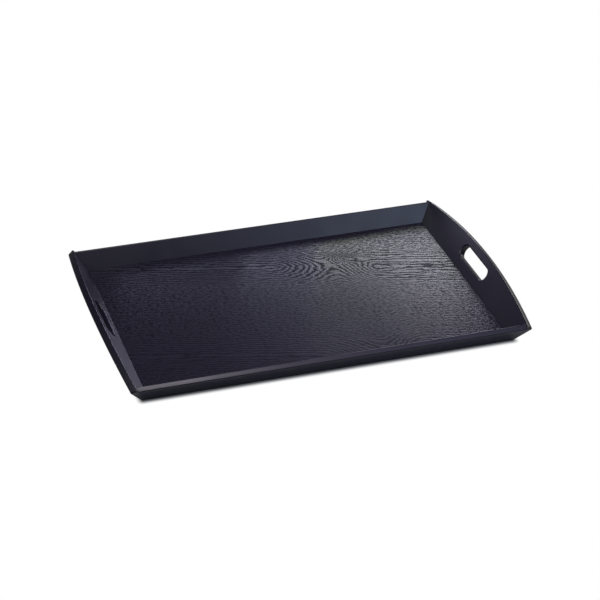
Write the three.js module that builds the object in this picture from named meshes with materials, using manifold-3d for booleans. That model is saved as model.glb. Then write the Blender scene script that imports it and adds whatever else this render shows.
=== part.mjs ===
// Splayed wooden serving tray.
// Two low side walls butt between two taller end walls, which have arched tops and hand slots.
// A veneered floor panel is housed in a groove ploughed round the inside of the four walls,
// and two blind dowels pin each corner.
// Millimetres, +Z up. The origin is on the table under the middle of the tray, with the front towards -Y.

import * as THREE from 'three';
import { mergeVertices } from 'three/addons/utils/BufferGeometryUtils.js';
import Module from 'manifold-3d';

const wasm = await Module();
wasm.setup();

// Plan of the tray, measured on the floor's top face, and the lean of all four walls from upright
const floorLength = 400;
const floorWidth = 260;
const splayDegrees = 36;

// Side walls: board thickness, and how far the board rises up its slope from the floor
const sideThickness = 6.3;
const sideRise = 23.4;

// End walls: board thickness, rise up the slope at the corners, the arch's height above the corners,
// and the rounding of the corners themselves
const endThickness = 7.7;
const cornerRise = 22.7;
const archHeight = 14.3;
const cornerRadius = 2.5;

// Hand slots: full round ends, with a grip of solid wood left between the slot and the crown of the arch
const slotLength = 68;
const slotHeight = 14.7;
const gripHeight = 9.85;

// Eased arrises along the top edges and round the slots, and the most of a board that one may take
const arrisRadius = 1.3;
const arrisLimit = 0.4;

// Floor panel, from the table up: the wall's lip below the groove, then the three layers and their glue films
const lipHeight = 2.1;
const backingThickness = 0.4;
const coreThickness = 2.0;
const faceThickness = 0.4;
const glueFilm = 0.1;
const grooveDepth = 3;

// Corner dowels: each lies along the tray's length, with a short socket in the end wall
const dowelDiameter = 3;
const dowelLength = 14;
const dowelSocket = 5;
const dowelChamfer = 0.4;
const dowelEdgeDistance = 6.5;

// Clearance left at every housing, butt joint and bore for the glue
const fitGap = 0.3;

// Facets: steps along each curve and round each eased arris
const curveSteps = 12;
const arrisSteps = 3;
const dowelSides = 16;

// Sizes worked out from the ones above
const splay = THREE.MathUtils.degToRad(splayDegrees);
const sin = Math.sin(splay);
const cos = Math.cos(splay);
const panelThickness = backingThickness + coreThickness + faceThickness + 2 * glueFilm;
const panelBottom = lipHeight + fitGap;
const floorTop = panelBottom + panelThickness;
const panelLength = floorLength + 2 * (grooveDepth - fitGap);
const panelWidth = floorWidth + 2 * (grooveDepth - fitGap);
const crownRise = cornerRise + archHeight;
const slotRise = crownRise - gripHeight - slotHeight / 2;
const lowestRise = -floorTop / cos;
const boardDepth = Math.max(sideThickness, endThickness);
const beyond = 2 * (crownRise - lowestRise + boardDepth);

// Which way each wall lies from the middle of the tray, and the dowels in each corner from the floor up
const frontSide = { direction: -1 };
const backSide = { direction: 1 };
const leftEnd = { direction: -1 };
const rightEnd = { direction: 1 };
const dowelLevels = [
  { level: 'lower', rise: dowelEdgeDistance },
  { level: 'upper', rise: sideRise - dowelEdgeDistance },
];

// Half the tray's width over the side walls' outer faces, at a height above the table
function outerHalfWidth(height) {
  return floorWidth / 2 + (height - floorTop) * Math.tan(splay) + sideThickness / cos;
}

// Half the tray's length inside the end walls' inner faces, at a height above the table
function innerHalfLength(height) {
  return floorLength / 2 + (height - floorTop) * Math.tan(splay);
}

// Placing of the front wall: its section lies with the width outwards and the height up the slope,
// and its length runs along -X
const frontPlace = new THREE.Matrix4()
  .makeBasis(
    new THREE.Vector3(0, -cos, -sin),
    new THREE.Vector3(0, -sin, cos),
    new THREE.Vector3(-1, 0, 0),
  )
  .setPosition(0, -floorWidth / 2, floorTop);

// Placing of the right end wall: its outline lies with the width along +Y and the height up the slope,
// and its thickness runs outwards
const rightPlace = new THREE.Matrix4()
  .makeBasis(
    new THREE.Vector3(0, 1, 0),
    new THREE.Vector3(sin, 0, cos),
    new THREE.Vector3(cos, 0, -sin),
  )
  .setPosition(floorLength / 2, 0, floorTop);

// A closed geometry as a solid that can be cut, standing in the tray's own frame
function toSolid(geometry, place = new THREE.Matrix4()) {
  const bare = geometry.clone().applyMatrix4(place);
  bare.deleteAttribute('normal');
  bare.deleteAttribute('uv');
  const merged = mergeVertices(bare);
  return new wasm.Manifold(new wasm.Mesh({
    numProp: 3,
    vertProperties: Float32Array.from(merged.attributes.position.array),
    triVerts: Uint32Array.from(merged.index.array),
  }));
}

// A cut solid as a geometry in its board's own frame
function toGeometry(solid, place) {
  const cut = solid.getMesh();
  const geometry = new THREE.BufferGeometry();
  geometry.setAttribute('position', new THREE.BufferAttribute(Float32Array.from(cut.vertProperties), 3));
  geometry.setIndex(new THREE.BufferAttribute(Uint32Array.from(cut.triVerts), 1));
  geometry.applyMatrix4(place.clone().invert());
  geometry.computeVertexNormals();
  return geometry;
}

// All the space past a plane, as a block: the plane goes through a point and faces along a normal
function spacePast(point, normal) {
  const size = 2 * (floorLength + floorWidth + beyond);
  const block = new THREE.BoxGeometry(size, size, size).translate(0, 0, size / 2);
  const turn = new THREE.Quaternion().setFromUnitVectors(new THREE.Vector3(0, 0, 1), normal);
  return toSolid(block, new THREE.Matrix4().compose(point, turn, new THREE.Vector3(1, 1, 1)));
}

// The space past the inner face of the end wall on one side, set back by the glue gap
function spacePastEnd(end) {
  const normal = new THREE.Vector3(end.direction * cos, 0, -sin);
  const point = new THREE.Vector3(end.direction * floorLength / 2, 0, floorTop);
  return spacePast(point.addScaledVector(normal, -fitGap), normal);
}

// The space past the outer face of the side wall on one side
function spacePastSide(side) {
  const normal = new THREE.Vector3(0, side.direction * cos, -sin);
  const point = new THREE.Vector3(0, side.direction * floorWidth / 2, floorTop);
  return spacePast(point.addScaledVector(normal, sideThickness), normal);
}

// The groove: the floor panel's own block, grown by the fit
function panelHousing() {
  const block = new THREE.BoxGeometry(
    panelLength + 2 * fitGap,
    panelWidth + 2 * fitGap,
    panelThickness + 2 * fitGap,
  );
  block.translate(0, 0, panelBottom + panelThickness / 2);
  return toSolid(block);
}

// Where a dowel starts in the right end wall: in the middle of the side wall's thickness, a rise up its slope
function dowelSeat(rise, side) {
  const height = floorTop + rise * cos - sideThickness / 2 * sin;
  const across = floorWidth / 2 + rise * sin + sideThickness / 2 * cos;
  return new THREE.Vector3(innerHalfLength(height) + dowelSocket, side.direction * across, height);
}

// A round pin with chamfered ends, lying along the tray from the seat at one end wall towards the middle
function pin(radius, length, chamfer, end) {
  const profile = [
    new THREE.Vector2(0, 0),
    new THREE.Vector2(radius - chamfer, 0),
    new THREE.Vector2(radius, chamfer),
    new THREE.Vector2(radius, length - chamfer),
    new THREE.Vector2(radius - chamfer, length),
    new THREE.Vector2(0, length),
  ];
  return new THREE.LatheGeometry(profile, dowelSides).rotateZ(end.direction * Math.PI / 2);
}

// The bore for a corner dowel: the dowel grown by the fit
function dowelBore(rise, side, end) {
  const seat = dowelSeat(rise, side);
  const bore = pin(dowelDiameter / 2 + fitGap, dowelLength + 2 * fitGap, dowelChamfer, end);
  bore.translate(end.direction * (seat.x + fitGap), seat.y, seat.z);
  return toSolid(bore);
}

// Side wall: a square-topped board with a level foot, ploughed, bored and cut to fit the end walls
function sideWall() {
  const radius = Math.min(arrisRadius, arrisLimit * sideThickness);
  const section = new THREE.Shape();
  section.moveTo(0, lowestRise);
  section.lineTo(sideThickness, lowestRise + sideThickness * Math.tan(splay));
  section.lineTo(sideThickness, sideRise - radius);
  section.absarc(sideThickness - radius, sideRise - radius, radius, 0, Math.PI / 2, false);
  section.lineTo(radius, sideRise);
  section.absarc(radius, sideRise - radius, radius, Math.PI / 2, Math.PI, false);
  section.closePath();
  const length = floorLength + beyond;
  const board = new THREE.ExtrudeGeometry(section, {
    depth: length,
    bevelEnabled: false,
    curveSegments: arrisSteps,
  });
  board.translate(0, 0, -length / 2);
  let wall = toSolid(board, frontPlace).subtract(panelHousing());
  for (const end of [leftEnd, rightEnd]) {
    wall = wall.subtract(spacePastEnd(end));
    for (const { rise } of dowelLevels) {
      wall = wall.subtract(dowelBore(rise, frontSide, end));
    }
  }
  return toGeometry(wall, frontPlace);
}

// Outline of an end wall: a foot below the table, ends along the side walls' splay, rounded corners,
// and one arc from corner to corner. The ends stand past the side walls by the arris, which is cut off there.
function endOutline() {
  const cornerHalf = outerHalfWidth(floorTop + cornerRise * cos);
  const archRadius = (cornerHalf ** 2 + archHeight ** 2) / (2 * archHeight);
  const archCentre = crownRise - archRadius;
  const foot = lowestRise - arrisRadius;
  const slant = Math.hypot(1, sin);
  const halfAtFloor = outerHalfWidth(floorTop) + arrisRadius * slant;
  const endAngle = Math.atan2(-sin, 1);

  // The corner's centre is one radius inside both the end and the arch, which gives a quadratic in its height
  const inset = halfAtFloor - cornerRadius * slant;
  const half = (archCentre - inset * sin) / slant ** 2;
  const rest = (inset ** 2 + archCentre ** 2 - (archRadius - cornerRadius) ** 2) / slant ** 2;
  const centreRise = half + Math.sqrt(half ** 2 - rest);
  const centreHalf = inset + centreRise * sin;
  const archAngle = Math.atan2(centreRise - archCentre, centreHalf);

  const outline = new THREE.Shape();
  outline.moveTo(-halfAtFloor - foot * sin, foot);
  outline.lineTo(halfAtFloor + foot * sin, foot);
  outline.absarc(centreHalf, centreRise, cornerRadius, endAngle, archAngle, false);
  outline.absarc(0, archCentre, archRadius, archAngle, Math.PI - archAngle, false);
  outline.absarc(-centreHalf, centreRise, cornerRadius, Math.PI - archAngle, Math.PI - endAngle, false);
  outline.closePath();
  return outline;
}

// Hand slot: straight sides and full round ends, on the middle of the board
function handSlot() {
  const radius = slotHeight / 2;
  const reach = slotLength / 2 - radius;
  const slot = new THREE.Path();
  slot.moveTo(-reach, slotRise - radius);
  slot.absarc(reach, slotRise, radius, -Math.PI / 2, Math.PI / 2, false);
  slot.absarc(-reach, slotRise, radius, Math.PI / 2, 3 * Math.PI / 2, false);
  slot.closePath();
  return slot;
}

// End wall: an arched board with eased arrises, cut level at the foot and flush with the side walls
function endWall() {
  const radius = Math.min(arrisRadius, arrisLimit * endThickness);
  const outline = endOutline();
  outline.holes.push(handSlot());
  const board = new THREE.ExtrudeGeometry(outline, {
    depth: endThickness - 2 * radius,
    bevelThickness: radius,
    bevelSize: radius,
    bevelOffset: -radius,
    bevelSegments: arrisSteps,
    curveSegments: curveSteps,
  });
  board.translate(0, 0, radius);
  const table = spacePast(new THREE.Vector3(0, 0, 0), new THREE.Vector3(0, 0, -1));
  let wall = toSolid(board, rightPlace).subtract(table).subtract(panelHousing());
  for (const side of [frontSide, backSide]) {
    wall = wall.subtract(spacePastSide(side));
    for (const { rise } of dowelLevels) {
      wall = wall.subtract(dowelBore(rise, side, rightEnd));
    }
  }
  return toGeometry(wall, rightPlace);
}

// One layer of the floor panel
function panelLayer(thickness) {
  return new THREE.BoxGeometry(panelLength, panelWidth, thickness);
}

// Finishes
function finish(color, roughness) {
  return new THREE.MeshStandardMaterial({ color, roughness, metalness: 0 });
}

const lacquer = { color: 0x23222b, roughness: 0.38 };
const grainedLacquer = { color: 0x2b2a31, roughness: 0.45 };
const plywood = { color: 0xb08a5c, roughness: 0.8 };
const birch = { color: 0xc9a877, roughness: 0.75 };

// A named piece of the tray
function piece(name, geometry, { color, roughness }) {
  const mesh = new THREE.Mesh(geometry, finish(color, roughness));
  mesh.name = name;
  return mesh;
}

// A named board, standing where its placing says
function boardPiece(name, geometry, place) {
  const board = piece(name, geometry, lacquer);
  board.applyMatrix4(place);
  return board;
}

// The floor panel's layers, from the backing up to the grained face
function floorPanel() {
  const panel = new THREE.Group();
  const layers = [
    { name: 'floor_backing_veneer', thickness: backingThickness, look: lacquer },
    { name: 'floor_core', thickness: coreThickness, look: plywood },
    { name: 'floor_face_veneer', thickness: faceThickness, look: grainedLacquer },
  ];
  let height = panelBottom;
  for (const { name, thickness, look } of layers) {
    const layer = piece(name, panelLayer(thickness), look);
    layer.position.z = height + thickness / 2;
    height += thickness + glueFilm;
    panel.add(layer);
  }
  return panel;
}

// Half of the frame: one side wall, one end wall, and the dowels at both of that end's corners
function halfFrame({ side, end, far }, sideGeometry, endGeometry, dowelGeometry) {
  const half = new THREE.Group();
  half.add(boardPiece(`${side}_wall`, sideGeometry, frontPlace));
  half.add(boardPiece(`${end}_end_wall`, endGeometry, rightPlace));
  for (const [name, wallSide] of [[side, frontSide], [far, backSide]]) {
    for (const { level, rise } of dowelLevels) {
      const dowel = piece(`${name}_${end}_${level}_dowel`, dowelGeometry, birch);
      dowel.position.copy(dowelSeat(rise, wallSide));
      half.add(dowel);
    }
  }
  return half;
}

// The tray looks the same turned half round, so both halves share their geometry
const tray = new THREE.Group();
tray.name = 'tray';
tray.add(floorPanel());
const sideGeometry = sideWall();
const endGeometry = endWall();
const dowelGeometry = pin(dowelDiameter / 2, dowelLength, dowelChamfer, rightEnd);
const halves = [
  { side: 'front', end: 'right', far: 'back', turn: 0 },
  { side: 'back', end: 'left', far: 'front', turn: Math.PI },
];
for (const names of halves) {
  const half = halfFrame(names, sideGeometry, endGeometry, dowelGeometry);
  half.rotation.z = names.turn;
  tray.add(half);
}

export default tray;
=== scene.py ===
"""Looks of a black lacquered wooden serving tray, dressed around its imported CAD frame.

Everything is in metres and in the CAD's own frame: the origin is on the table under the middle of the
tray, +X runs along its length towards the right end wall, +Y towards the back wall and +Z up. The four
walls are modelled anew, with rounded arrises and corners. The layers of the floor panel and the corner
dowels keep their CAD shapes and take procedural finishes.
"""

from __future__ import annotations

import logging
import math
from abc import ABC, abstractmethod
from dataclasses import dataclass
from enum import Enum
from typing import Callable, Iterable, Union

import bmesh
import bpy
from bmesh.types import BMEdge, BMesh, BMFace, BMVert
from bpy.types import ID, Material, Node, NodeSocket, NodeTree, Object
from mathutils import Matrix, Vector

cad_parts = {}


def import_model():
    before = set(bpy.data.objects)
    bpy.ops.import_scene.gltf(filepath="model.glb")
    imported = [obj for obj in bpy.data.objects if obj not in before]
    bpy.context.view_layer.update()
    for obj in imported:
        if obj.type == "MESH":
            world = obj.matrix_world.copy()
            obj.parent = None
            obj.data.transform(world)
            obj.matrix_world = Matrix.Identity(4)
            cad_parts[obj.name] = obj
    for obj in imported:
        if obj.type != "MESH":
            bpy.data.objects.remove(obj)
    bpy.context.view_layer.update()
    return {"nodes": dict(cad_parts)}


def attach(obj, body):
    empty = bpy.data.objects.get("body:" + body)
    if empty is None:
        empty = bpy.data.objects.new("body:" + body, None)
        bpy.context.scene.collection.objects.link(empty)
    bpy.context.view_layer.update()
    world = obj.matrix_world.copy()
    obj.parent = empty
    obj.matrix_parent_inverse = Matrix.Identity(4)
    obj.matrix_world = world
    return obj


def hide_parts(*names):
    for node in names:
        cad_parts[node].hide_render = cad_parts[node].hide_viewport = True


MM = 0.001
BODY = "root"
ARRIS_MARK = "arris"
SHARP_ANGLE = math.radians(40)
NORMAL_WEIGHT = 100
IMAGE_SIDE = 600
SENSOR = 36.0

# Distances in metres below which a saw cut or two places count as the same
CUT_TOLERANCE = 1e-7
PLACE_TOLERANCE = 1e-6

# Sockets of the Mix node when it mixes colours
MIX_FACTOR, MIX_A, MIX_B, MIX_RESULT = 0, 6, 7, 2

# A noise runs from 0 to 1, evenly about this level
NOISE_MIDDLE = 0.5

NodeInput = Union[float, tuple, Node, NodeSocket]
NodeInputs = dict[Union[int, str], NodeInput]
Pair = tuple[float, float]
Triple = tuple[float, float, float]

log = logging.getLogger("tray")


class Side(Enum):
    """The long walls, with the sign of Y on which each one stands."""

    FRONT = -1
    BACK = 1


class End(Enum):
    """The end walls, with the sign of X on which each one stands."""

    LEFT = -1
    RIGHT = 1


class Grain(Enum):
    """Which way a board's grain runs, as the turn about Z that brings it onto X."""

    ALONG_X = 0.0
    ALONG_Y = -math.pi / 2


class Detail(Enum):
    """How many further octaves of ever finer lumps a noise has."""

    PLAIN = 1.0
    SOFT = 2.0
    MIXED = 3.0
    FINE = 4.0


@dataclass(frozen=True)
class TrayPlan:
    """Sizes that the pieces share, in metres and radians.

    They are the CAD's own, apart from the foot's small arris, and from the glue line and the groove's
    play, which are closed here to a hairline.
    """

    floor_length: float = 400 * MM
    floor_width: float = 260 * MM
    floor_top: float = 5.4 * MM
    panel_bottom: float = 2.4 * MM
    panel_reach: float = 2.7 * MM
    splay: float = math.radians(36)
    side_thickness: float = 6.3 * MM
    side_rise: float = 23.4 * MM
    end_thickness: float = 7.7 * MM
    corner_rise: float = 22.7 * MM
    arch_height: float = 14.3 * MM
    slot_length: float = 68 * MM
    slot_height: float = 14.7 * MM
    grip_height: float = 9.85 * MM
    arris: float = 1.3 * MM
    corner_radius: float = 2.5 * MM
    foot_arris: float = 0.4 * MM
    glue_line: float = 0.08 * MM
    groove_play: float = 0.12 * MM

    @property
    def sin(self) -> float:
        """Sine of the walls' lean."""
        return math.sin(self.splay)

    @property
    def cos(self) -> float:
        """Cosine of the walls' lean."""
        return math.cos(self.splay)

    @property
    def groove_low(self) -> float:
        """Height of the groove's lower side."""
        return self.panel_bottom - self.groove_play

    @property
    def groove_high(self) -> float:
        """Height of the groove's upper side."""
        return self.floor_top + self.groove_play

    @property
    def groove_depth(self) -> float:
        """How far the groove goes out past the edge of the floor that shows."""
        return self.panel_reach + self.groove_play

    def side_normal(self, side: Side) -> Vector:
        """Outward normal of a side wall's faces."""
        return Vector((0, side.value * self.cos, -self.sin))

    def end_normal(self, end: End) -> Vector:
        """Outward normal of an end wall's faces."""
        return Vector((end.value * self.cos, 0, -self.sin))

    def side_origin(self, side: Side) -> Vector:
        """Middle of the line where a side wall's inner face meets the floor."""
        return Vector((0, side.value * self.floor_width / 2, self.floor_top))

    def end_origin(self, end: End) -> Vector:
        """Middle of the line where an end wall's inner face meets the floor."""
        return Vector((end.value * self.floor_length / 2, 0, self.floor_top))


def linear(code: str) -> tuple[float, float, float, float]:
    """Turns an sRGB hex colour to linear, by the curve and the constants of the sRGB standard.

    Args:
        code: Six hex digits.

    Returns:
        Red, green, blue and an alpha of 1.
    """
    channels = [int(code[i : i + 2], 16) / 255 for i in (0, 2, 4)]
    red, green, blue = (c / 12.92 if c <= 0.04045 else ((c + 0.055) / 1.055) ** 2.4 for c in channels)
    return red, green, blue, 1.0


def add_node(
    tree: NodeTree, kind: str, inputs: NodeInputs | None = None, **settings: object
) -> Node:
    """Adds a node with its settings, values and links.

    Args:
        tree: The node tree that it goes into.
        kind: The node's type, without the leading ShaderNode.
        inputs: For each input, by name or number, a value, a socket, or a node, whose first output is
            meant.
        **settings: Properties of the node.

    Returns:
        The new node.
    """
    node = tree.nodes.new(f"ShaderNode{kind}")
    for name, value in settings.items():
        setattr(node, name, value)
    for key, value in (inputs or {}).items():
        if isinstance(value, Node):
            value = value.outputs[0]
        if isinstance(value, NodeSocket):
            tree.links.new(value, node.inputs[key])
        else:
            node.inputs[key].default_value = value
    return node


def maths(tree: NodeTree, operation: str, *values: NodeInput) -> Node:
    """Adds a node that reckons with numbers.

    Args:
        tree: The node tree.
        operation: What it does, in the Math node's own word.
        *values: Its inputs in order, as add_node takes them.

    Returns:
        The new node.
    """
    return add_node(tree, "Math", dict(enumerate(values)), operation=operation)


def vector_maths(tree: NodeTree, operation: str, *values: NodeInput) -> Node:
    """Adds a node that reckons with vectors.

    Args:
        tree: The node tree.
        operation: What it does, in the VectorMath node's own word.
        *values: Its inputs in order, as add_node takes them.

    Returns:
        The new node.
    """
    return add_node(tree, "VectorMath", dict(enumerate(values)), operation=operation)


def smooth_step(
    tree: NodeTree, value: NodeInput, span: Pair, start: float = 0.0, end: float = 1.0
) -> Node:
    """Adds a smooth step from one level to another.

    Args:
        tree: The node tree.
        value: The value that crosses the step.
        span: Where the step begins and ends.
        start: The level before it.
        end: The level after it.

    Returns:
        The node that gives the level.
    """
    return add_node(
        tree,
        "MapRange",
        {"Value": value, "From Min": span[0], "From Max": span[1], "To Min": start, "To Max": end},
        interpolation_type="SMOOTHSTEP",
    )


def noise(tree: NodeTree, place: Node, detail: Detail, width: float = 1.0) -> Node:
    """Adds a noise.

    Args:
        tree: The node tree.
        place: The coordinates that it reads.
        detail: Its octaves.
        width: The width of its lumps, in the unit of the coordinates.

    Returns:
        The node that gives the noise.
    """
    return add_node(tree, "TexNoise", {"Vector": place, "Scale": 1 / width, "Detail": detail.value})


def mix_colours(tree: NodeTree, share: NodeInput, first: NodeInput, second: NodeInput) -> NodeSocket:
    """Mixes two colours.

    Args:
        tree: The node tree.
        share: The share of the second colour.
        first: The first colour.
        second: The second colour.

    Returns:
        The socket that gives the mixed colour.
    """
    mix = add_node(tree, "Mix", {MIX_FACTOR: share, MIX_A: first, MIX_B: second}, data_type="RGBA")
    return mix.outputs[MIX_RESULT]


def millimetres(tree: NodeTree, turn: float = 0.0) -> Node:
    """Adds the object's own coordinates in millimetres, turned about Z.

    Args:
        tree: The node tree.
        turn: The turn in radians.

    Returns:
        The node that gives the coordinates.
    """
    place = add_node(tree, "TexCoord").outputs["Object"]
    scaled = add_node(tree, "VectorMath", {0: place, "Scale": 1 / MM}, operation="SCALE")
    return add_node(tree, "Mapping", {"Vector": scaled, "Rotation": (0.0, 0.0, turn)})


def empty_material(name: str) -> tuple[Material, NodeTree]:
    """Makes a material with an empty node tree.

    Args:
        name: The material's name.

    Returns:
        The material and its tree.
    """
    material = bpy.data.materials.new(name)
    material.use_nodes = True
    material.node_tree.nodes.clear()
    return material, material.node_tree


def add_surface(tree: NodeTree, inputs: NodeInputs) -> None:
    """Adds the shader of a solid surface and the material's output.

    Args:
        tree: The material's node tree.
        inputs: The shader's inputs, as add_node takes them.
    """
    surface = add_node(tree, "BsdfPrincipled", inputs)
    add_node(tree, "OutputMaterial", {"Surface": surface})


@dataclass(frozen=True)
class SatinLacquer:
    """Black satin lacquer, sprayed on sanded hardwood boards and rubbed down.

    The eye sees an almost even black with a broad soft gloss. Close to, the gloss is broken by the slight
    orange peel of the spray, by long grain lines that show through the film and by a haze of handling,
    and on the arrises the film is thinner and polished. Lengths are in millimetres.
    """

    name: str
    grain: Grain
    film: str = "1c1a2a"
    deep: str = "171522"
    thin: str = "221f30"
    roughness: float = 0.3
    haze: float = 0.05
    polish: float = 0.05
    ior: float = 1.5
    peel_width: float = 2.4
    peel_height: float = 0.004
    line_width: float = 0.9
    line_stretch: float = 45.0
    line_height: float = 0.003
    haze_width: float = 38.0
    haze_edge: Pair = (0.3, 0.7)

    def material(self) -> Material:
        """Builds the material.

        Returns:
            The finished material.
        """
        material, tree = empty_material(self.name)
        place = millimetres(tree, self.grain.value)
        along = vector_maths(tree, "MULTIPLY", place, (1 / self.line_stretch, 1.0, 1.0))
        lines = noise(tree, along, Detail.MIXED, self.line_width)
        peel = noise(tree, place, Detail.SOFT, self.peel_width)
        haze = smooth_step(tree, noise(tree, place, Detail.FINE, self.haze_width), self.haze_edge)
        arris = add_node(tree, "Attribute", attribute_name=ARRIS_MARK).outputs["Fac"]
        rubbed = maths(tree, "MULTIPLY", arris, haze)
        shade = mix_colours(tree, lines, linear(self.deep), linear(self.film))
        colour = mix_colours(tree, rubbed, shade, linear(self.thin))
        hazy = maths(tree, "MULTIPLY_ADD", haze, self.haze, self.roughness - self.haze / 2)
        rough = maths(tree, "MULTIPLY_ADD", arris, -self.polish, hazy)
        peel_relief = maths(tree, "MULTIPLY", peel, self.peel_height)
        relief = maths(tree, "MULTIPLY_ADD", lines, self.line_height, peel_relief)
        bump = add_node(tree, "Bump", {"Height": relief, "Distance": MM})
        add_surface(tree, {"Base Color": colour, "Roughness": rough, "IOR": self.ior, "Normal": bump})
        return material


@dataclass(frozen=True)
class OpenPoredVeneer:
    """Flat-sawn ash veneer, stained black and sprayed with thin satin lacquer that leaves the pores open.

    The eye sees a cathedral figure of growth rings under a broad sheen: the porous earlywood bands are
    duller and lie a little deeper than the dense latewood, and clusters of pores mottle the whole sheet.
    It is laid in two book-matched leaves, so the figure is mirrored across their joint, which runs aslant
    as the heart of the log does. Lengths are in millimetres.
    """

    name: str = "black_stained_open_pored_ash_veneer"
    film: str = "191724"
    pore: str = "0e0d14"
    dense: str = "242231"
    film_roughness: float = 0.24
    film_ior: float = 1.5
    pore_bareness: float = 0.95
    band_bareness: float = 0.88
    wood_gloss: float = 0.05
    wood_roughness: float = 0.5
    haze: float = 0.1
    leaf_joint: float = -35.0
    heart_place: float = 60.4
    heart_tilt: float = -0.27
    figure_core: float = 24.0
    figure_reach: float = 50.0
    figure_rest: float = 0.35
    crest_place: float = 66.0
    crest_depth: float = 30.8
    crest_round: float = 4.0
    near_slope: float = 0.45
    far_slope: float = 0.63
    least_depth: float = 2.6
    fan_end: float = 120.0
    near_stretch: float = 0.7
    far_stretch: float = 0.56
    ring_width: float = 2.9
    # Where in a ring, from 0 to 1, its earlywood sets in and fades
    band_onset: Pair = (0.0, 0.18)
    band_fading: Pair = (0.35, 0.7)
    eye_place: float = 90.0
    eye_offset: float = 18.0
    eye_length: float = 21.0
    eye_width: float = 10.5
    eye_height: float = 3.2
    eye_radius: float = 11.3
    wander: float = 2.5
    wander_length: float = 110.0
    wander_width: float = 30.0
    wobble: float = 1.8
    wobble_length: float = 15.0
    wobble_width: float = 6.5
    # Real pores are about 0.3 mm wide, too fine for the render. Clusters of them are drawn instead.
    cluster_width: float = 2.4
    cluster_length: float = 4.2
    heart_pores: float = 0.5
    latewood_pores: float = 0.6
    pore_edge: Pair = (0.45, 0.57)
    pore_depth: float = 0.07
    band_depth: float = 0.06
    peel_width: float = 3.0
    peel_height: float = 0.004
    haze_width: float = 45.0

    def material(self) -> Material:
        """Builds the material.

        Returns:
            The finished material.
        """
        material, tree = empty_material(self.name)
        place = millimetres(tree)
        band, strength = self._earlywood(tree, place)
        pores = self._pores(tree, place, band, strength)
        peel = noise(tree, place, Detail.SOFT, self.peel_width)
        haze = noise(tree, place, Detail.FINE, self.haze_width)
        wood = mix_colours(tree, band, linear(self.dense), linear(self.film))
        colour = mix_colours(tree, pores, wood, linear(self.pore))
        rough = maths(tree, "MULTIPLY_ADD", haze, self.haze, self.wood_roughness - self.haze / 2)
        band_film = maths(tree, "MULTIPLY_ADD", band, -self.band_bareness, 1.0)
        pore_film = maths(tree, "MULTIPLY_ADD", pores, -self.pore_bareness, 1.0)
        film = maths(tree, "MULTIPLY", band_film, pore_film)
        peel_relief = maths(tree, "MULTIPLY", peel, self.peel_height)
        band_relief = maths(tree, "MULTIPLY_ADD", band, -self.band_depth, peel_relief)
        relief = maths(tree, "MULTIPLY_ADD", pores, -self.pore_depth, band_relief)
        bump = add_node(tree, "Bump", {"Height": relief, "Distance": MM})
        add_surface(
            tree,
            {
                "Base Color": colour,
                "Roughness": rough,
                "Specular IOR Level": self.wood_gloss,
                "Normal": bump,
                "Coat Weight": film,
                "Coat Roughness": self.film_roughness,
                "Coat IOR": self.film_ior,
                "Coat Normal": bump,
            },
        )
        return material

    def _earlywood(self, tree: NodeTree, place: Node) -> tuple[Node, Node]:
        """Draws the porous earlywood bands of the growth rings.

        Args:
            tree: The node tree.
            place: Coordinates in millimetres, with the grain along X.

        Returns:
            The node that gives the bands, from 0 in latewood to 1 in earlywood, and the node that gives
            the strength of the figure, which is 1 along its heart.
        """
        axes = add_node(tree, "SeparateXYZ", {"Vector": place})
        along = axes.outputs["X"]
        from_crest = maths(tree, "SUBTRACT", along, self.crest_place)
        joint = maths(tree, "MULTIPLY_ADD", from_crest, self.heart_tilt, self.leaf_joint)
        past_joint = maths(tree, "SUBTRACT", axes.outputs["Y"], joint)
        from_joint = maths(tree, "ABSOLUTE", past_joint)
        from_heart = maths(tree, "SUBTRACT", from_joint, self.heart_place - self.leaf_joint)
        leaf = add_node(tree, "CombineXYZ", {"X": along, "Y": from_heart})

        radius = self._ring_radius(tree, along, from_crest, from_heart)
        eyed = self._with_eye(tree, leaf, radius)
        strayed = maths(tree, "ADD", eyed, self._straying(tree, leaf))
        rings = maths(tree, "DIVIDE", strayed, self.ring_width)
        phase = maths(tree, "FRACT", rings)
        onset = smooth_step(tree, phase, self.band_onset)
        fading = smooth_step(tree, phase, self.band_fading, 1.0, 0.0)
        band = maths(tree, "MULTIPLY", onset, fading)
        off_heart = maths(tree, "ABSOLUTE", from_heart)
        figure_span = (self.figure_core, self.figure_reach)
        strength = smooth_step(tree, off_heart, figure_span, 1.0, self.figure_rest)
        return maths(tree, "MULTIPLY", band, strength), strength

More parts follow.
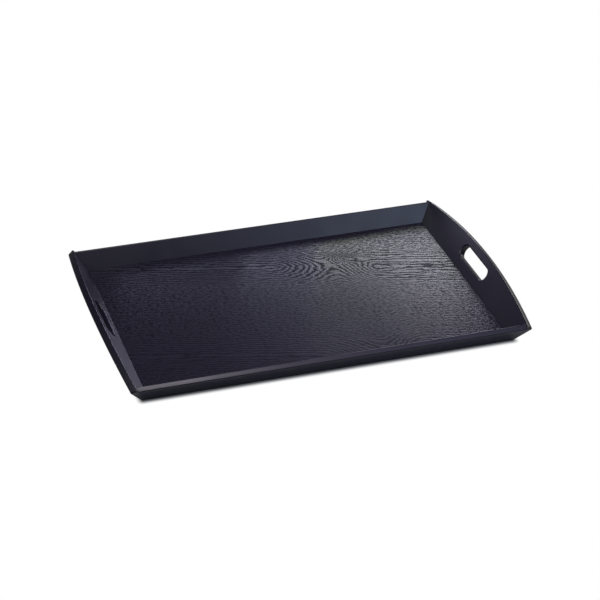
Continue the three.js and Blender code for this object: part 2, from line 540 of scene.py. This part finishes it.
    def _ring_radius(
        self, tree: NodeTree, along: NodeSocket, from_crest: Node, from_heart: Node
    ) -> NodeSocket:
        """Draws how far the saw cut lies from the heart of the log, which says the ring that it meets.

        The depth of the cut rises along the leaf to a crest and falls again, so the rings come out as
        nested arches on both sides of the crest. Past it they fan out into long lines.

        Args:
            tree: The node tree.
            along: The distance along the grain.
            from_crest: The distance along the grain from the crest.
            from_heart: The distance across the grain from the figure's middle line.

        Returns:
            The socket that gives the distance from the heart.
        """
        off_crest = maths(tree, "ABSOLUTE", from_crest)
        uneven = maths(tree, "MULTIPLY", off_crest, (self.far_slope - self.near_slope) / 2)
        slope = maths(tree, "MULTIPLY_ADD", from_crest, (self.far_slope + self.near_slope) / 2, uneven)
        rounded = add_node(tree, "CombineXYZ", {"X": slope, "Y": self.crest_round})
        fall = vector_maths(tree, "LENGTH", rounded).outputs["Value"]
        depth = maths(tree, "SUBTRACT", self.crest_depth, fall)
        kept_depth = maths(tree, "SMOOTH_MAX", depth, self.least_depth, self.least_depth)
        fan = (self.crest_place, self.fan_end)
        stretch = smooth_step(tree, along, fan, self.near_stretch, self.far_stretch)
        stretched = maths(tree, "MULTIPLY", from_heart, stretch)
        from_log_heart = add_node(tree, "CombineXYZ", {"X": stretched, "Y": kept_depth})
        return vector_maths(tree, "LENGTH", from_log_heart).outputs["Value"]

    def _with_eye(self, tree: NodeTree, leaf: Node, radius: NodeSocket) -> Node:
        """Lays one closed eye beside the arches.

        Args:
            tree: The node tree.
            leaf: Coordinates along the grain and across it from the figure's middle line.
            radius: The distance from the heart of the log.

        Returns:
            The node that gives the distance with the eye in it.
        """
        from_eye = vector_maths(tree, "SUBTRACT", leaf, (self.eye_place, self.eye_offset, 0.0))
        shares = vector_maths(tree, "MULTIPLY", from_eye, (1 / self.eye_length, 1 / self.eye_width, 0.0))
        square = vector_maths(tree, "DOT_PRODUCT", shares, shares).outputs["Value"]
        eye = maths(tree, "EXPONENT", maths(tree, "MULTIPLY", square, -1.0))
        pull = maths(tree, "SUBTRACT", self.eye_radius, radius)
        calmed = maths(tree, "MULTIPLY_ADD", eye, pull, radius)
        core = maths(tree, "MULTIPLY", eye, eye)
        return maths(tree, "MULTIPLY_ADD", core, -self.eye_height, calmed)

    def _straying(self, tree: NodeTree, leaf: Node) -> Node:
        """Draws how far the rings stray, in a slow wander and a short wobble.

        Args:
            tree: The node tree.
            leaf: Coordinates along the grain and across it from the figure's middle line.

        Returns:
            The node that gives the straying in millimetres.
        """
        slow = vector_maths(tree, "MULTIPLY", leaf, (1 / self.wander_length, 1 / self.wander_width, 0.0))
        drift = maths(tree, "SUBTRACT", noise(tree, slow, Detail.MIXED), NOISE_MIDDLE)
        wander = maths(tree, "MULTIPLY", drift, 2 * self.wander)
        short = vector_maths(tree, "MULTIPLY", leaf, (1 / self.wobble_length, 1 / self.wobble_width, 0.0))
        ripple = maths(tree, "SUBTRACT", noise(tree, short, Detail.PLAIN), NOISE_MIDDLE)
        return maths(tree, "MULTIPLY_ADD", ripple, 2 * self.wobble, wander)

    def _pores(self, tree: NodeTree, place: Node, band: Node, strength: Node) -> Node:
        """Draws the clusters of open pores, which crowd into the earlywood and are fine along the heart.

        Args:
            tree: The node tree.
            place: Coordinates in millimetres, with the grain along X.
            band: The earlywood bands.
            strength: The strength of the figure.

        Returns:
            The node that gives the clusters, from 0 on the film to 1 among pores.
        """
        sizes = (1 / self.cluster_length, 1 / self.cluster_width, 0.0)
        clusters = noise(tree, vector_maths(tree, "MULTIPLY", place, sizes), Detail.PLAIN)
        open_pores = smooth_step(tree, clusters, self.pore_edge)
        crowding = add_node(
            tree, "MapRange", {"Value": band, "To Min": self.latewood_pores, "To Max": 1.0}
        )
        crowded = maths(tree, "MULTIPLY", open_pores, crowding)
        fineness = add_node(
            tree,
            "MapRange",
            {
                "Value": strength,
                "From Min": self.figure_rest,
                "From Max": 1.0,
                "To Min": 1.0,
                "To Max": self.heart_pores,
            },
        )
        return maths(tree, "MULTIPLY", crowded, fineness)


@dataclass(frozen=True)
class StraightWood:
    """Straight-grained birch or a plain veneer, planed or rolled, with its grain along X.

    The eye sees even streaks along the grain that drift between two tones, with faint relief along them.
    Lengths are in millimetres.
    """

    name: str
    light: str
    dark: str
    roughness: float
    roughness_swing: float = 0.15
    ior: float = 1.5
    streak_width: float = 1.1
    streak_stretch: float = 30.0
    tone_width: float = 26.0
    tone_edge: Pair = (0.12, 0.4)
    relief: float = 0.012

    def material(self) -> Material:
        """Builds the material.

        Returns:
            The finished material.
        """
        material, tree = empty_material(self.name)
        place = millimetres(tree)
        along = vector_maths(tree, "MULTIPLY", place, (1 / self.streak_stretch, 1.0, 1.0))
        streaks = noise(tree, along, Detail.FINE, self.streak_width)
        tone = noise(tree, place, Detail.MIXED, self.tone_width)
        share = smooth_step(tree, maths(tree, "MULTIPLY", streaks, tone), self.tone_edge)
        colour = mix_colours(tree, share, linear(self.light), linear(self.dark))
        smoothest = self.roughness - self.roughness_swing / 2
        rough = maths(tree, "MULTIPLY_ADD", streaks, self.roughness_swing, smoothest)
        bump = add_node(tree, "Bump", {"Height": streaks, "Distance": self.relief * MM})
        add_surface(tree, {"Base Color": colour, "Roughness": rough, "IOR": self.ior, "Normal": bump})
        return material


@dataclass(frozen=True)
class StudioPaper:
    """Matt white background paper under the tray.

    By the tray's foot nearly all its light comes from the lamps, so it keeps the tray's shadow. Further
    out it turns to plain white for the camera, and to a dimmer white for reflections. Lengths are in
    metres.
    """

    name: str = "matt_white_background_paper"
    sheet: str = "f4f4f4"
    glow: str = "ffffff"
    foot: Triple = (0.204, 0.134, 0.0)
    lift: float = 0.04
    seen_shadow: Pair = (0.5 * MM, 8 * MM)
    mirrored_shadow: Pair = (10 * MM, 45 * MM)
    mirrored_level: float = 0.3

    def material(self) -> Material:
        """Builds the material.

        Returns:
            The finished material.
        """
        material, tree = empty_material(self.name)
        place = add_node(tree, "TexCoord").outputs["Object"]
        quadrant = vector_maths(tree, "ABSOLUTE", place)
        past_foot = vector_maths(tree, "SUBTRACT", quadrant, self.foot)
        outside = vector_maths(tree, "MAXIMUM", past_foot, (0.0, 0.0, 0.0))
        reach = vector_maths(tree, "LENGTH", outside).outputs["Value"]
        path = add_node(tree, "LightPath").outputs
        seen = path["Is Camera Ray"]
        mirrored = maths(tree, "MAXIMUM", path["Is Glossy Ray"], path["Is Transmission Ray"])
        shares = []
        for ray, shadow in ((seen, self.seen_shadow), (mirrored, self.mirrored_shadow)):
            white_share = smooth_step(tree, reach, shadow, self.lift)
            shares.append(maths(tree, "MULTIPLY", white_share, ray))
        share = maths(tree, "MAXIMUM", *shares)
        paper = add_node(tree, "BsdfDiffuse", {"Color": linear(self.sheet)})
        mirrored_white = maths(tree, "MULTIPLY", mirrored, self.mirrored_level)
        level = maths(tree, "MAXIMUM", seen, mirrored_white)
        white = add_node(tree, "Emission", {"Color": linear(self.glow), "Strength": level})
        surface = add_node(tree, "MixShader", {0: share, 1: paper, 2: white})
        add_node(tree, "OutputMaterial", {"Surface": surface})
        return material


def link_object(name: str, data: ID) -> Object:
    """Makes an object and links it to the scene.

    Args:
        name: The object's name.
        data: Its mesh, lamp or lens.

    Returns:
        The object.
    """
    made = bpy.data.objects.new(name, data)
    bpy.context.scene.collection.objects.link(made)
    return made


def mesh_object(name: str, bm: BMesh, finish: Material) -> Object:
    """Makes a modelled thing an object of the scene.

    Args:
        name: The name of the object and of its mesh.
        bm: The modelled thing, which is freed.
        finish: Its material.

    Returns:
        The object.
    """
    mesh = bpy.data.meshes.new(name)
    bm.to_mesh(mesh)
    bm.free()
    mesh.materials.append(finish)
    log.info("%s: %d vertices", name, len(mesh.vertices))
    return link_object(name, mesh)


class Wall(ABC):
    """A lacquered board of the tray that takes the place of its CAD node."""

    arris_steps = 5
    foot_steps = 2

    def __init__(self, plan: TrayPlan, node: str) -> None:
        """Keeps the plan and the name of the CAD node that this board stands for."""
        self.plan = plan
        self.node = node

    @abstractmethod
    def build(self) -> BMesh:
        """Models the board where it stands."""

    def dress(self, finish: Material) -> None:
        """Builds the board and puts it, with its finish, on the tray's body.

        Args:
            finish: The board's material.
        """
        board = mesh_object(f"{self.node}_board", self.build(), finish)
        normals = board.modifiers.new("flat_faces_stay_flat", "WEIGHTED_NORMAL")
        normals.weight = NORMAL_WEIGHT
        normals.keep_sharp = True
        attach(board, BODY)
        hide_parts(self.node)

    @staticmethod
    def cut(bm: BMesh, point: Vector, normal: Vector) -> None:
        """Saws off what lies past a plane and closes the cut.

        Args:
            bm: The board.
            point: A point of the plane.
            normal: The way the offcut lies.
        """
        geometry = [*bm.verts, *bm.edges, *bm.faces]
        made = bmesh.ops.bisect_plane(
            bm, geom=geometry, dist=CUT_TOLERANCE, plane_co=point, plane_no=normal, clear_outer=True
        )
        rim = [item for item in made["geom_cut"] if isinstance(item, BMEdge)]
        bmesh.ops.edgeloop_fill(bm, edges=rim)

    @staticmethod
    def ease(bm: BMesh, edges: Iterable[BMEdge], radius: float, steps: int) -> list[BMFace]:
        """Rounds edges over.

        Args:
            bm: The board.
            edges: The edges to round.
            radius: The radius of the rounding.
            steps: Facets across the rounding.

        Returns:
            The faces of the rounding.
        """
        made = bmesh.ops.bevel(
            bm,
            geom=list(edges),
            offset=radius,
            offset_type="OFFSET",
            segments=steps,
            profile=0.5,
            affect="EDGES",
            clamp_overlap=False,
            material=-1,
        )
        return made["faces"]

    @staticmethod
    def mark(bm: BMesh, rounded: Iterable[BMFace]) -> None:
        """Marks the inside of the arrises for the finish, and sets smooth faces and sharp edges.

        Args:
            bm: The board.
            rounded: The faces of the arrises.
        """
        bmesh.ops.recalc_face_normals(bm, faces=bm.faces)
        on_arris = set(rounded)
        layer = bm.verts.layers.float.new(ARRIS_MARK)
        for vert in bm.verts:
            inside = bool(vert.link_faces) and all(face in on_arris for face in vert.link_faces)
            vert[layer] = 1.0 if inside else 0.0
        for face in bm.faces:
            face.smooth = True
        for edge in bm.edges:
            edge.smooth = edge.calc_face_angle(0.0) < SHARP_ANGLE


class SideWall(Wall):
    """One of the long boards: square-topped, ploughed for the floor and fitted between the end walls."""

    def __init__(self, plan: TrayPlan, side: Side) -> None:
        """Keeps the plan and which side this board stands on."""
        super().__init__(plan, f"{side.name.lower()}_wall")
        self.side = side

    def build(self) -> BMesh:
        """Models the board where it stands.

        Returns:
            The board, with its arrises marked.
        """
        plan = self.plan
        bm = bmesh.new()
        reach = plan.floor_length
        section = bm.faces.new([bm.verts.new(self._at(-reach, *point)) for point in self._section()])
        pulled = bmesh.ops.extrude_face_region(bm, geom=[section])
        far = [item for item in pulled["geom"] if isinstance(item, BMVert)]
        bmesh.ops.translate(bm, verts=far, vec=(2 * reach, 0, 0))
        for end in End:
            normal = plan.end_normal(end)
            self.cut(bm, plan.end_origin(end) - normal * plan.glue_line, normal)
        bmesh.ops.recalc_face_normals(bm, faces=bm.faces)
        top = self._lengthwise(bm, lambda height: height > plan.floor_top + plan.side_thickness)
        rounded = self.ease(bm, top, plan.arris, self.arris_steps)
        foot = self._lengthwise(bm, lambda height: height < plan.foot_arris)
        rounded += self.ease(bm, foot, plan.foot_arris, self.foot_steps)
        self.mark(bm, rounded)
        return bm

    def _at(self, along: float, across: float, height: float) -> Vector:
        """Point of the board from its distances along and across the tray and its height."""
        return Vector((along, self.side.value * across, height))

    def _section(self) -> list[tuple[float, float]]:
        """Section of the board, with its groove.

        Returns:
            Distance from the tray's middle and height of each corner, in order.
        """
        plan = self.plan
        half = plan.floor_width / 2
        lean = math.tan(plan.splay)

        def inner(height: float) -> float:
            """Distance of the inner face from the middle at a height."""
            return half + (height - plan.floor_top) * lean

        edge = half + plan.side_rise * plan.sin
        top = plan.floor_top + plan.side_rise * plan.cos
        low, high, deep = plan.groove_low, plan.groove_high, half + plan.groove_depth
        return [
            (inner(0), 0),
            (inner(0) + plan.side_thickness / plan.cos, 0),
            (edge + plan.side_thickness * plan.cos, top - plan.side_thickness * plan.sin),
            (edge, top),
            (inner(high), high),
            (deep, high),
            (deep, low),
            (inner(low), low),
        ]

    @staticmethod
    def _lengthwise(bm: BMesh, wanted: Callable[[float], bool]) -> list[BMEdge]:
        """Finds the edges along the board at certain heights.

        Args:
            bm: The board.
            wanted: Says whether an edge at a height is meant.

        Returns:
            The edges.
        """
        found = []
        for edge in bm.edges:
            run = edge.verts[0].co - edge.verts[1].co
            level = abs(run.z) < PLACE_TOLERANCE and abs(run.y) < PLACE_TOLERANCE
            if level and wanted(edge.verts[0].co.z):
                found.append(edge)
        return found


class EndWall(Wall):
    """One of the arched boards: with a hand slot, its ends flush with the side walls' outer faces."""

    arch_steps = 36
    corner_steps = 7
    slot_steps = 22
    # The arch ends this far before the corner and goes on straight past it, to be sawn off there
    corner_run = 9 * MM
    overhang = 30 * MM
    # Least dot products of a face's normal with the flush end's, the inner face's and the upward one
    flush_dot = 0.999
    inner_dot = 0.9999
    upward_dot = 0.6

    def __init__(self, plan: TrayPlan, end: End) -> None:
        """Keeps the plan and which end this board stands at."""
        super().__init__(plan, f"{end.name.lower()}_end_wall")
        self.end = end

    def build(self) -> BMesh:
        """Models the board where it stands.

        Returns:
            The board, with its arrises marked.
        """
        plan = self.plan
        bm = bmesh.new()
        self._half_outline(bm)
        bmesh.ops.mirror(
            bm,
            geom=[*bm.verts, *bm.edges, *bm.faces],
            matrix=Matrix.Identity(4),
            merge_dist=CUT_TOLERANCE,
            axis="X",
        )
        bmesh.ops.recalc_face_normals(bm, faces=bm.faces)
        pulled = bmesh.ops.extrude_face_region(bm, geom=bm.faces[:])
        outer = [item for item in pulled["geom"] if isinstance(item, BMVert)]
        bmesh.ops.translate(bm, verts=outer, vec=(0, 0, plan.end_thickness))
        bmesh.ops.transform(bm, matrix=self._standing(), verts=bm.verts)
        self.cut(bm, Vector(), Vector((0, 0, -1)))
        for side in Side:
            normal = plan.side_normal(side)
            self.cut(bm, plan.side_origin(side) + normal * plan.side_thickness, normal)
        bmesh.ops.recalc_face_normals(bm, faces=bm.faces)
        self.ease(bm, self._corner_edges(bm), plan.corner_radius, self.corner_steps)
        rounded = self.ease(bm, self._arris_edges(bm), plan.arris, self.arris_steps)
        foot = [edge for edge in bm.edges if self._on_foot(edge)]
        rounded += self.ease(bm, foot, plan.foot_arris, self.foot_steps)
        rounded = [face for face in rounded if face.is_valid]
        self._plough(bm)
        self.mark(bm, rounded)
        return bm

    def _standing(self) -> Matrix:
        """Places the board: its width along Y, its height up the slope, its thickness outwards."""
        plan = self.plan
        up = Vector((self.end.value * plan.sin, 0, plan.cos))
        columns = Matrix((Vector((0, 1, 0)), up, plan.end_normal(self.end))).transposed()
        return Matrix.Translation(plan.end_origin(self.end)) @ columns.to_4x4()

    def _half_outline(self, bm: BMesh) -> None:
        """Draws half of the board's outline, with half of its slot, as one face.

        Args:
            bm: An empty bmesh, which takes the face, with the board's width along X and height along Y.
        """
        plan = self.plan
        crown = plan.corner_rise + plan.arch_height
        corner = plan.floor_width / 2 + plan.side_thickness / plan.cos + plan.corner_rise * plan.sin
        radius = (corner**2 + plan.arch_height**2) / (2 * plan.arch_height)
        turn = math.asin((corner - self.corner_run) / radius)
        foot = -2 * plan.floor_top
        slot_radius = plan.slot_height / 2
        slot_reach = plan.slot_length / 2 - slot_radius
        slot_rise = crown - plan.grip_height - slot_radius

        arch_top = bm.verts.new((0, crown, 0))
        arch_end = self._swing(bm, arch_top, Vector((0, crown - radius, 0)), -turn, self.arch_steps)
        tangent = Vector((math.cos(turn), -math.sin(turn), 0))
        tip = bm.verts.new(arch_end.co + tangent * self.overhang)
        foot_end = bm.verts.new((tip.co.x, foot, 0))
        foot_middle = bm.verts.new((0, foot, 0))
        slot_top = bm.verts.new((0, slot_rise + slot_radius, 0))
        slot_start = bm.verts.new((slot_reach, slot_rise + slot_radius, 0))
        slot_centre = Vector((slot_reach, slot_rise, 0))
        slot_end = self._swing(bm, slot_start, slot_centre, -math.pi, self.slot_steps)
        slot_bottom = bm.verts.new((0, slot_rise - slot_radius, 0))
        straight = [
            (arch_end, tip),
            (tip, foot_end),
            (foot_end, foot_middle),
            (foot_middle, slot_bottom),
            (slot_bottom, slot_end),
            (slot_start, slot_top),
            (slot_top, arch_top),
        ]
        for pair in straight:
            bm.edges.new(pair)
        bmesh.ops.edgeloop_fill(bm, edges=bm.edges[:])

    @staticmethod
    def _swing(bm: BMesh, start: BMVert, centre: Vector, angle: float, steps: int) -> BMVert:
        """Draws an arc of edges by swinging a vertex about a centre.

        Args:
            bm: The outline.
            start: The vertex at which the arc starts.
            centre: The arc's centre.
            angle: The arc's angle, against the clock.
            steps: Edges along the arc.

        Returns:
            The vertex at the arc's end.
        """
        made = bmesh.ops.spin(
            bm, geom=[start], cent=centre, axis=(0, 0, 1), angle=angle, steps=steps, use_merge=False
        )
        return next(item for item in made["geom_last"] if isinstance(item, BMVert))

    @staticmethod
    def _on_foot(edge: BMEdge) -> bool:
        """Says whether an edge lies on the table."""
        return all(vert.co.z < PLACE_TOLERANCE for vert in edge.verts)

    def _by_flush_end(self, edge: BMEdge) -> bool:
        """Says whether an edge borders one of the ends that are flush with the side walls."""
        ends = [self.plan.side_normal(side) for side in Side]
        return any(face.normal.dot(end) > self.flush_dot for face in edge.link_faces for end in ends)

    def _is_inner(self, face: BMFace) -> bool:
        """Says whether a face is part of the board's inner face."""
        return face.normal.dot(self.plan.end_normal(self.end)) < -self.inner_dot

    def _corner_edges(self, bm: BMesh) -> list[BMEdge]:
        """Finds the edges through the thickness where the arch meets the flush ends.

        Args:
            bm: The board.

        Returns:
            The two edges.
        """
        found = []
        for edge in bm.edges:
            arched = any(face.normal.z > self.upward_dot for face in edge.link_faces)
            above_floor = all(vert.co.z > self.plan.floor_top for vert in edge.verts)
            if arched and above_floor and self._by_flush_end(edge):
                if abs(edge.verts[0].co.x - edge.verts[1].co.x) > self.plan.end_thickness / 2:
                    found.append(edge)
        return found

    def _arris_edges(self, bm: BMesh) -> list[BMEdge]:
        """Finds the edges to ease: all the sharp ones but the foot and the glue joints.

        Args:
            bm: The board.

        Returns:
            The edges.
        """
        inner = self.plan.end_origin(self.end)
        normal = self.plan.end_normal(self.end)
        found = []
        for edge in bm.edges:
            if edge.calc_face_angle(0.0) < SHARP_ANGLE or self._on_foot(edge):
                continue
            on_inner = all(abs((vert.co - inner).dot(normal)) < PLACE_TOLERANCE for vert in edge.verts)
            if not (on_inner and self._by_flush_end(edge)):
                found.append(edge)
        return found

    def _plough(self, bm: BMesh) -> None:
        """Ploughs the stopped groove for the floor panel into the inner face.

        Args:
            bm: The board.
        """
        plan = self.plan
        half = plan.floor_width / 2 + plan.groove_depth
        lines = [
            (Vector((0, 0, plan.groove_low)), Vector((0, 0, 1))),
            (Vector((0, 0, plan.groove_high)), Vector((0, 0, 1))),
            (Vector((0, -half, 0)), Vector((0, 1, 0))),
            (Vector((0, half, 0)), Vector((0, 1, 0))),
        ]
        for point, across in lines:
            inner = [face for face in bm.faces if self._is_inner(face)]
            edges = {edge for face in inner for edge in face.edges}
            verts = {vert for face in inner for vert in face.verts}
            bmesh.ops.bisect_plane(
                bm, geom=[*verts, *edges, *inner], dist=CUT_TOLERANCE, plane_co=point, plane_no=across
            )
        strip = []
        for face in bm.faces:
            middle = face.calc_center_bounds()
            in_height = plan.groove_low < middle.z < plan.groove_high
            if self._is_inner(face) and in_height and abs(middle.y) < half:
                strip.append(face)
        pushed = bmesh.ops.extrude_face_region(bm, geom=strip)
        bmesh.ops.delete(bm, geom=strip, context="FACES")
        deep = [item for item in pushed["geom"] if isinstance(item, BMVert)]
        bottom = self.end.value * (plan.floor_length / 2 + plan.groove_depth)
        bmesh.ops.scale(bm, vec=(0, 1, 1), verts=deep, space=Matrix.Translation((-bottom, 0, 0)))


def finish_node(node: Object, material: Material) -> None:
    """Puts a material on a CAD node.

    Args:
        node: The node's object.
        material: Its finish.
    """
    if not node.material_slots:
        node.data.materials.append(material)
    for place in node.material_slots:
        place.material = material
    log.info("%s: %s", node.name, material.name)


@dataclass(frozen=True)
class FloorPanel:
    """The floor's three layers, which keep their CAD shapes and take their finishes."""

    face: OpenPoredVeneer
    core: StraightWood
    backing: StraightWood

    def dress(self, nodes: dict[str, Object]) -> None:
        """Gives each layer its finish.

        Args:
            nodes: The CAD nodes by name.
        """
        layers = {
            "floor_face_veneer": self.face,
            "floor_core": self.core,
            "floor_backing_veneer": self.backing,
        }
        for name, finish in layers.items():
            finish_node(nodes[name], finish.material())


@dataclass(frozen=True)
class CornerDowels:
    """The blind dowels in the corners, which keep their CAD shapes."""

    wood: StraightWood

    def dress(self, nodes: dict[str, Object]) -> None:
        """Gives every dowel its finish.

        Args:
            nodes: The CAD nodes by name.
        """
        material = self.wood.material()
        for name in sorted(nodes):
            if name.endswith("_dowel"):
                finish_node(nodes[name], material)


def set_up(thing: Object, place: Triple, aim: Triple, roll: float) -> None:
    """Puts a lamp or camera in its place, facing a point.

    Args:
        thing: The lamp or camera.
        place: Where it stands.
        aim: The point that it faces.
        roll: Its turn about the line between the two, in radians.
    """
    thing.location = place
    facing = Vector(aim) - Vector(place)
    level = facing.to_track_quat("-Z", "Y").to_matrix().to_4x4()
    thing.rotation_euler = (level @ Matrix.Rotation(roll, 4, "Z")).to_euler()


@dataclass(frozen=True)
class Softbox:
    """A lamp behind a white cloth: a soft rectangle of light that faces a point."""

    name: str
    place: Triple
    aim: Triple
    size: Pair
    radiance: float
    tint: str
    roll: float = 0.0

    def build(self) -> None:
        """Makes the lamp."""
        lamp = bpy.data.lights.new(self.name, "AREA")
        lamp.shape = "RECTANGLE"
        lamp.size, lamp.size_y = self.size
        lamp.energy = self.radiance * math.pi * self.size[0] * self.size[1]
        lamp.color = linear(self.tint)[:3]
        box = link_object(self.name, lamp)
        box.visible_camera = False
        set_up(box, self.place, self.aim, self.roll)
        log.info("%s: %.2f W", self.name, lamp.energy)


@dataclass(frozen=True)
class Viewpoint:
    """The camera: where it stands, what it faces, how far it is rolled and its focal length in pixels."""

    place: Triple = (-0.59397, -1.80085, 1.14617)
    aim: Triple = (0.00274, -0.01339, 0.015)
    roll: float = math.radians(1.0654)
    focal: float = 2013.39

    def build(self) -> None:
        """Makes the camera and gives it to the scene."""
        lens = bpy.data.cameras.new("camera")
        lens.sensor_width = SENSOR
        lens.lens = self.focal / IMAGE_SIDE * SENSOR
        camera = link_object("camera", lens)
        set_up(camera, self.place, self.aim, self.roll)
        bpy.context.scene.camera = camera


@dataclass(frozen=True)
class Studio:
    """The pale floor, the dim room and the lamps."""

    paper: StudioPaper
    lamps: tuple[Softbox, ...]
    room: str = "ffffff"
    room_light: float = 0.02
    floor_radius: float = 8.0
    floor_sides: int = 96
    floor_drop: float = 0.05 * MM

    def build(self) -> None:
        """Makes the floor, the room's own light and the lamps."""
        bm = bmesh.new()
        bmesh.ops.create_circle(bm, cap_ends=True, radius=self.floor_radius, segments=self.floor_sides)
        bmesh.ops.translate(bm, verts=bm.verts, vec=(0, 0, -self.floor_drop))
        floor = mesh_object("studio_floor", bm, self.paper.material())

        world = bpy.data.worlds.new("dim_room")
        world.use_nodes = True
        tree = world.node_tree
        tree.nodes.clear()
        light = add_node(tree, "Background", {"Color": linear(self.room), "Strength": self.room_light})
        add_node(tree, "OutputWorld", {"Surface": light})
        bpy.context.scene.world = world
        for lamp in self.lamps:
            lamp.build()


# Each lamp's name, place, aim, size, radiance, tint and, where it isn't level, roll
LAMPS = (
    Softbox("window_strip", (0.225, 0.25, 0.115), (0.15, 0.0, 0.0), (0.22, 0.035), 3.4, "f2fdec"),
    Softbox("window_corner", (0.28, 0.25, 0.16), (0.2, 0.0, 0.0), (0.13, 0.055), 1.3, "fdfaff"),
    Softbox("window_side", (0.0675, 0.25, 0.1), (0.0, 0.0, 0.0), (0.095, 0.05), 1.85, "dedcff"),
    Softbox("window_edge", (-0.06, 0.25, 0.1), (-0.125, 0.0, 0.0), (0.16, 0.05), 0.6, "dedcff"),
    Softbox(
        "far_window", (0.46, 0.75, 0.37), (0.1, 0.0, 0.0), (0.32, 0.08), 4.6, "ded7ff", math.radians(-14)
    ),
    Softbox("horizon_strip", (0.45, 0.75, 0.18), (-0.2, 0.0, 0.01), (0.4, 0.1), 6.0, "e7e3ff"),
    Softbox("right_box", (1.0, 0.475, 0.45), (0.0, 0.0, 0.0), (0.55, 0.5), 3.8, "fff7f0"),
    Softbox("rail_strip", (0.03, -0.2, 1.0), (0.03, -0.199, 0.0), (0.12, 0.6), 12.0, "fbf3ff"),
    Softbox("overhead_box", (-0.5, 0.05, 1.0), (0.0, 0.0, 0.0), (0.9, 1.0), 2.3, "fcfff8"),
    Softbox("top_box", (0.4, -0.45, 1.0), (0.2, 0.0, 0.0), (0.6, 0.3), 1.3, "ded1ff"),
    Softbox("front_box", (0.65, -0.85, 0.9), (0.05, 0.0, 0.0), (0.45, 0.4), 3.1, "ccdeff"),
)


def main() -> None:
    """Loads the frame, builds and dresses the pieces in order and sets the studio."""
    logging.basicConfig(level=logging.INFO, format="%(name)s %(message)s")
    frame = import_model()
    plan = TrayPlan()

    side_finish = SatinLacquer("black_satin_lacquer_on_side_boards", Grain.ALONG_X).material()
    for side in Side:
        SideWall(plan, side).dress(side_finish)
    end_finish = SatinLacquer("black_satin_lacquer_on_end_boards", Grain.ALONG_Y).material()
    for end in End:
        EndWall(plan, end).dress(end_finish)

    panel = FloorPanel(
        face=OpenPoredVeneer(),
        core=StraightWood("raw_birch_plywood", "c9a877", "a5804f", roughness=0.75),
        backing=StraightWood("black_lacquered_backing_veneer", "1d1c22", "141318", roughness=0.5),
    )
    panel.dress(frame["nodes"])
    dowels = CornerDowels(StraightWood("turned_birch_dowel", "d2b486", "b08f5f", roughness=0.7))
    dowels.dress(frame["nodes"])

    Studio(StudioPaper(), LAMPS).build()
    Viewpoint().build()
    bpy.context.scene.view_settings.view_transform = "Standard"


if __name__ == "__main__":
    main()
